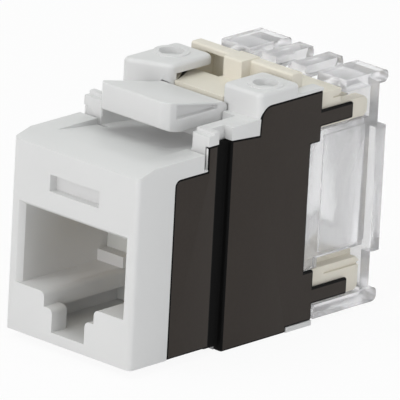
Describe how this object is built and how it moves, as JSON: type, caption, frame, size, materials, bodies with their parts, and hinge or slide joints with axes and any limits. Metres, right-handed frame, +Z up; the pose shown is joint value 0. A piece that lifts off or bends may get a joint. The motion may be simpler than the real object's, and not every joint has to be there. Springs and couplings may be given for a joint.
{
  "type": "keystone jack",
  "caption": "Snap-in modular data socket with a white housing, dark side plates, spring latch, cream wire carrier and a clear press-on comb cap.",
  "frame": {"origin": "middle of the bounding box's base, on the surface the jack stands on", "axes": "+Y back from the port face towards the wire cap, +Z up through the latch, +X across, to the right as seen from the port"},
  "size_m": [0.0162, 0.0304, 0.0226],
  "materials": {
    "white_plastic": "satin moulded",
    "cream_plastic": "satin moulded",
    "dark_plate": "fine matt",
    "clear_plastic": "clear polished",
    "board_green": "solder mask",
    "gold_plated": "polished",
    "tinned_bronze": "bright tin"
  },
  "bodies": {
    "jack": {"front_housing": "white_plastic", "side_plate_right": "dark_plate", "side_plate_left": "dark_plate", "contact_sled": "white_plastic", "contact_leads": "gold_plated", "circuit_board": "board_green", "idc_carrier": "cream_plastic", "idc_terminal_1": "tinned_bronze", "idc_terminal_2": "tinned_bronze", "idc_terminal_3": "tinned_bronze", "idc_terminal_4": "tinned_bronze", "idc_terminal_5": "tinned_bronze", "idc_terminal_6": "tinned_bronze", "idc_terminal_7": "tinned_bronze", "idc_terminal_8": "tinned_bronze"},
    "latch": {"latch_arm": "white_plastic"},
    "contacts": {"contact_1": "gold_plated", "contact_2": "gold_plated", "contact_3": "gold_plated", "contact_4": "gold_plated", "contact_5": "gold_plated", "contact_6": "gold_plated", "contact_7": "gold_plated", "contact_8": "gold_plated"},
    "cap": {"wire_cap": "clear_plastic"}
  },
  "joints": [
    {"name": "latch_flex", "type": "hinge", "parent": "jack", "child": "latch", "pos_m": [0, -0.00147, 0.0199], "axis": [1, 0, 0], "range_deg": [0, 12], "stiffness_Nm_per_rad": 0.15},
    {"name": "contact_flex", "type": "hinge", "parent": "jack", "child": "contacts", "pos_m": [0, -0.01218, 0.0125], "axis": [1, 0, 0], "range_deg": [0, 12], "stiffness_Nm_per_rad": 0.3},
    {"name": "cap_pull", "type": "slide", "parent": "jack", "child": "cap", "axis": [0, 1, 0], "range_m": [0, 0.009]}
  ]
}
